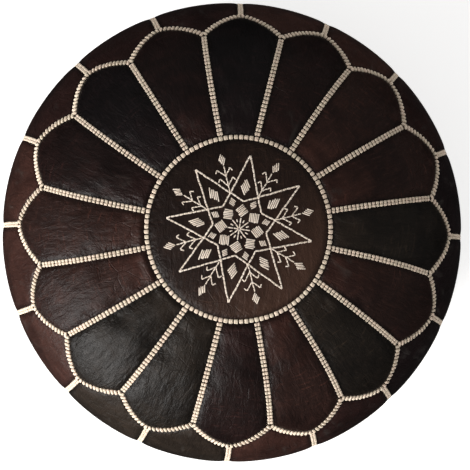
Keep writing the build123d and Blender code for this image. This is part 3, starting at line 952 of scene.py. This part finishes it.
star_lines, star_fill, squares, rays = [], [], [], []
sprigs, sprig_fill, crossing_fill, seeds = [], [], [], []
tips = [
    polar(TIP * hand.uniform(0.985, 1.015), STAR_TURN + k * STAR + hand.uniform(-0.014, 0.014))
    for k in range(POINTS)
]
bends = [
    polar(BEND * hand.uniform(0.97, 1.03), STAR_TURN + k * STAR + hand.uniform(-0.02, 0.02))
    for k in range(POINTS)
]
for k in range(POINTS):
    angle, between = STAR_TURN + k * STAR, STAR_TURN + (k + 0.5) * STAR
    star_lines += back_stitched([bends[k - 1], tips[k], bends[(k + 1) % POINTS]])
    star_fill += satin_lozenge(angle, 43.5 * MM, 19 * MM, 10.6 * MM, 5, 1 if k % 3 else -1)
    squares += satin_lozenge(angle, 18.9 * MM, 14.4 * MM, 14.4 * MM, 6, 1 if k % 2 else -1)
    rays += back_stitched(along_ray(angle, [(0.6 * MM, 0), (11.6 * MM, 0)]), 1.25 * MM, 5.5 * MM)
    stem = [(STEM[0], 0), (STEM[1], hand.uniform(-0.6, 0.6) * MM)]
    sprigs += back_stitched(along_ray(between, stem), 1.3 * MM, 3.8 * MM)
    for foot in BRANCH_FEET:
        for side in (-1, 1):
            reach = BRANCH * hand.uniform(0.9, 1.08)
            end = Vector((foot, 0)) + polar(reach, math.radians(BRANCH_TURN + hand.uniform(-4, 4)) * side)
            hook = end + polar(HOOK * hand.uniform(0.85, 1.1), HOOK_TURN * side)
            sprigs += back_stitched(along_ray(between, [(foot, 0), end, hook]), 1.3 * MM, 3.6 * MM)
    sprig_fill += satin_lozenge(between, 73.2 * MM, 14 * MM, 8.4 * MM, 4, 1 if k % 2 else -1)
    crossing_fill += satin_lozenge(between, 28.4 * MM, 10.4 * MM, 7.8 * MM, 4, -1 if k % 2 else 1)
    seeds += back_stitched(along_ray(between, [(7.0 * MM, 0), (10.4 * MM, 0)]), 1.3 * MM, 4 * MM)
embroidery = {
    "star_outline": star_lines,
    "star_lozenges": star_fill,
    "centre_squares": squares,
    "centre_rays": rays,
    "sprig_stems": sprigs,
    "sprig_lozenges": sprig_fill,
    "crossing_lozenges": crossing_fill,
    "centre_seeds": seeds,
}
for index, (node, stitches) in enumerate(embroidery.items()):
    sew(f"{node}_stitches", stitches, silk, "embroidery_silk", node, seed=60 + index, rounding=0.42)


# Inside ----------------------------------------------------------------------------------------------
def bag(name, inset, lumps, slot, material, node):
    """A closed form inside the cover: the outline moved inwards, spun round, with the furrow pressed in."""
    bm = bmesh.new()
    rows = 44
    spine = []
    for row in range(rows + 1):
        radius, height, slope = outline.at(BASE_AT * row / rows)
        across = max(radius - inset * math.sin(slope), 0)
        spine.append(bm.verts.new((across, 0, height - inset * math.cos(slope))))
    spine += [bm.verts.new((outline.flat_radius * share, 0, inset)) for share in (0.95, 0.8, 0.6, 0.4, 0.2, 0)]
    for upper, lower in zip(spine, spine[1:]):
        bm.edges.new((upper, lower))
    swept = bm.verts[:] + bm.edges[:]
    bmesh.ops.spin(bm, geom=swept, axis=(0, 0, 1), cent=(0, 0, 0), angle=math.tau, steps=96, use_merge=True)
    bmesh.ops.remove_doubles(bm, verts=bm.verts, dist=0.01 * MM)
    for vert in bm.verts:
        lump = noise.fractal(vert.co * 22, 1.0, 2.0, 3) * lumps
        vert.co -= vert.co.normalized() * abs(lump)
        if vert.co.z < FURROW_TOP:
            vert.co.z = lerp(FURROW_TOP + inset * 0.2, vert.co.z, smooth(16 * MM, 26 * MM, abs(vert.co.y)))
    bmesh.ops.recalc_face_normals(bm, faces=bm.faces)
    piece = new_piece(name, bm, slot, material)
    rounding = piece.modifiers.new("rounding", "SUBSURF")
    rounding.levels = rounding.render_levels = 1
    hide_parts(node)
    return piece


bag("cotton_bag", 8.5 * MM, 0.4 * MM, slots["lining"], cotton, "lining")
bag("loose_filling", 11 * MM, 5 * MM, slots["stuffing"], fibre, "stuffing")


# Zip -------------------------------------------------------------------------------------------------
def zip_tape(node):
    """A woven tape, thin and a little wavy."""
    low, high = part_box(node)
    bm = bmesh.new()
    stretch = Matrix.Diagonal(((high.x - low.x) / 2, (high.y - low.y) / 2 - 0.1 * MM, 1, 1))
    bmesh.ops.create_grid(bm, x_segments=160, y_segments=8, size=1, matrix=stretch)
    for vert in bm.verts:
        wave = 0.08 * MM * wander(13, vert.co.x, 90)
        vert.co += Vector((0, (low.y + high.y) / 2, (low.z + high.z) / 2 + wave))
    bm.normal_update()
    piece = new_piece(f"{node}_cloth", bm, slots[node], tape_cloth)
    thickness = piece.modifiers.new("weave", "SOLIDIFY")
    thickness.thickness = 0.6 * MM
    thickness.offset = 0
    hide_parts(node)


def zip_coil(node):
    """The turns of one side's coil, each a rounded loop with a flattened head."""
    low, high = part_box(node)
    middle, half = (low + high) / 2, (high - low) / 2
    inward = -1 if middle.y > 0 else 1
    turns = int(2 * half.x / COIL_PITCH)
    pitch = 2 * half.x / (turns + 0.5)
    start = low.x + (0.5 if inward > 0 else 1.0) * pitch
    loop = Matrix.Translation((start, middle.y, middle.z)) @ Matrix.Rotation(0.14 * inward, 4, "Z")
    head = loop @ Matrix.Translation((0, inward * (half.y - 0.55 * MM), 0))
    bm = bmesh.new()
    for place, size in ((loop, (0.62 * MM, half.y, half.z)), (head, (0.8 * MM, 0.5 * MM, 0.8 * half.z))):
        turn = place @ Matrix.Diagonal((*size, 1))
        bmesh.ops.create_uvsphere(bm, u_segments=8, v_segments=6, radius=1, matrix=turn)
    piece = new_piece(f"{node}_turns", bm, slots[node], coil_nylon)
    row = piece.modifiers.new("turns", "ARRAY")
    row.count = turns
    row.use_relative_offset = False
    row.use_constant_offset = True
    row.constant_offset_displace = (pitch, 0, 0)
    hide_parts(node)


def zip_seam_rows():
    """The two rows of stitches that hold the tape to the furrow's walls."""
    low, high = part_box("zip_seam_threads")
    count = round((high.x - low.x) / ZIP_PITCH)
    rows = []
    for side in (-1, 1):
        for stitch in range(count):
            x = low.x + (stitch + 0.5) * (high.x - low.x) / count
            centre = Vector((x, side * high.y, (low.z + high.z) / 2))
            place = upright(centre, Vector((1, 0, 0)), Vector((0, -side, 0)))
            rows.append((place, 0.7 * MM, 3.2 * MM, 0.5 * MM))
    return rows


for node in ("zip_tape_front", "zip_tape_back"):
    zip_tape(node)
for node in ("zip_coil_front", "zip_coil_back"):
    zip_coil(node)
sew("zip_stitches", zip_seam_rows(), dark_thread, "thread_dark", "zip_seam_threads", seed=4)


for node in ("zip_slider", "zip_pull", "zip_pull_pin", "zip_top_stops", "zip_bottom_stop"):
    for mesh_slot in frame["nodes"][node].material_slots:
        mesh_slot.material = brass


# Studio ----------------------------------------------------------------------------------------------
def studio_sky(world, above, below):
    """Even light from above and next to none from below. The room itself looks white."""
    world.use_nodes = True
    tree = world.node_tree
    height = add_node(tree, "SeparateXYZ", {0: add_node(tree, "TexCoord", output="Generated")}, output="Z")
    sockets = {"Value": height, "From Min": -0.1, "From Max": 0.15, "To Min": below, "To Max": above}
    level = add_node(tree, "MapRange", sockets)
    seen = add_node(tree, "LightPath", output="Is Camera Ray")
    background = tree.nodes["Background"]
    plug(background.inputs["Strength"], add_node(tree, "Mix", {0: seen, 2: level, 3: 1.0}))
    plug(background.inputs["Color"], (1.0, 0.985, 0.965))


def studio():
    """A pale, faintly glowing floor, and two soft lights from the left."""
    scene = bpy.context.scene
    scene.view_settings.view_transform = "Standard"
    scene.world = bpy.data.worlds.new("studio")
    studio_sky(scene.world, above=0.42, below=0.03)
    floor_mesh = bpy.data.meshes.new("floor")
    bm = bmesh.new()
    bmesh.ops.create_grid(bm, x_segments=1, y_segments=1, size=6)
    bm.to_mesh(floor_mesh)
    bm.free()
    floor = bpy.data.objects.new("floor", floor_mesh)
    scene.collection.objects.link(floor)
    pale = Finish(
        "light_table",
        Base_Color=(0.9, 0.9, 0.9),
        Roughness=0.9,
        Specular_IOR_Level=0.0,
        Emission_Color=(1.0, 1.0, 1.0),
        Emission_Strength=0.6,
    )
    floor_mesh.materials.append(pale.material)
    floor.visible_glossy = False
    softboxes = {
        "key": ((-3.15, -2.46, 3.2), 2.4, 164, (1.0, 0.97, 0.93)),
        "window": ((-3.6, -3.0, 1.1), 2.0, 300, (1.0, 0.985, 0.97)),
    }
    for name, (place, size, power, colour) in softboxes.items():
        light = bpy.data.lights.new(name, "AREA")
        light.size = size
        light.energy = power
        light.color = colour
        lamp = bpy.data.objects.new(name, light)
        lamp.location = place
        lamp.rotation_euler = (Vector((0, 0, 0.2)) - lamp.location).to_track_quat("-Z", "Y").to_euler()
        scene.collection.objects.link(lamp)


def camera():
    """Straight above, leaning a little to the lower left."""
    lens = bpy.data.cameras.new("camera")
    lens.sensor_width = 36
    lens.angle = math.radians(14.64)
    eye = bpy.data.objects.new("camera", lens)
    aim = Vector((0.0029, -0.0031, HEIGHT / 2))
    eye.location = (-0.085, -0.041, 2.2)
    outward = (eye.location - aim).normalized()
    right = Vector((0, 1, 0)).cross(outward).normalized()
    up = outward.cross(right)
    eye.rotation_euler = Matrix((right, up, outward)).transposed().to_euler()
    bpy.context.scene.collection.objects.link(eye)
    bpy.context.scene.camera = eye


studio()
camera()
